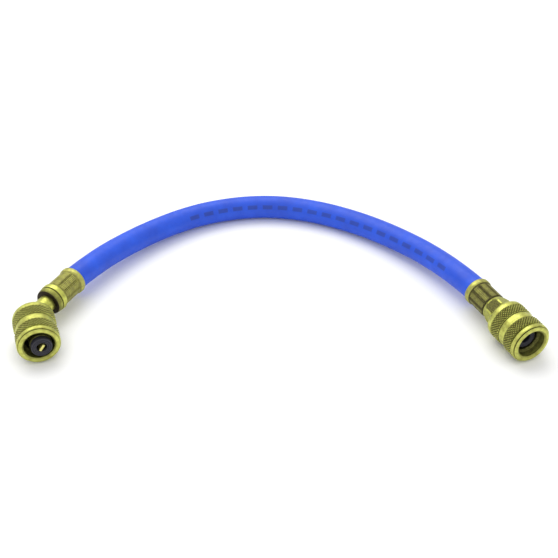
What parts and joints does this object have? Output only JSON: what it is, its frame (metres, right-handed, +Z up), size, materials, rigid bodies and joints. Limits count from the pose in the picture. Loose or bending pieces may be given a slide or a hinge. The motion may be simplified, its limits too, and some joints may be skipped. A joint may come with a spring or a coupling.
{
  "type": "refrigerant charging hose",
  "caption": "Short flexible charging hose with crimped brass ends, elbowed at one end and straight at the other, each under a knurled swivel coupling nut.",
  "frame": {"origin": "on the surface that the hose lies on, midway between the two end fittings", "axes": "+X from the elbow fitting to the straight fitting, +Y towards the bow of the hose, +Z up"},
  "size_m": [0.2247, 0.1195, 0.0184],
  "materials": {
    "hose_rubber": "smooth extruded rubber with a soft sheen",
    "ferrule_brass": "drawn and crimped brass",
    "stem_brass": "turned brass",
    "nut_brass": "turned and knurled brass",
    "gasket_rubber": "moulded black rubber",
    "depressor_brass": "stamped brass strip"
  },
  "bodies": {
    "root": {"hose": "hose_rubber", "ferrule_elbow_end": "ferrule_brass", "ferrule_straight_end": "ferrule_brass", "elbow_stem": "stem_brass", "straight_stem": "stem_brass", "gasket_elbow_end": "gasket_rubber", "gasket_straight_end": "gasket_rubber", "core_depressor": "depressor_brass"},
    "elbow_nut": {"coupling_nut_elbow_end": "nut_brass"},
    "straight_nut": {"coupling_nut_straight_end": "nut_brass"}
  },
  "joints": [
    {"name": "elbow_nut_swivel", "type": "hinge", "parent": "root", "child": "elbow_nut", "pos_m": [-0.10415, -0.00358, 0.0092], "axis": [0.309, -0.9511, 0], "continuous": true},
    {"name": "straight_nut_swivel", "type": "hinge", "parent": "root", "child": "straight_nut", "pos_m": [0.09616, -0.00368, 0.0092], "axis": [0.4226, -0.9063, 0], "continuous": true}
  ]
}
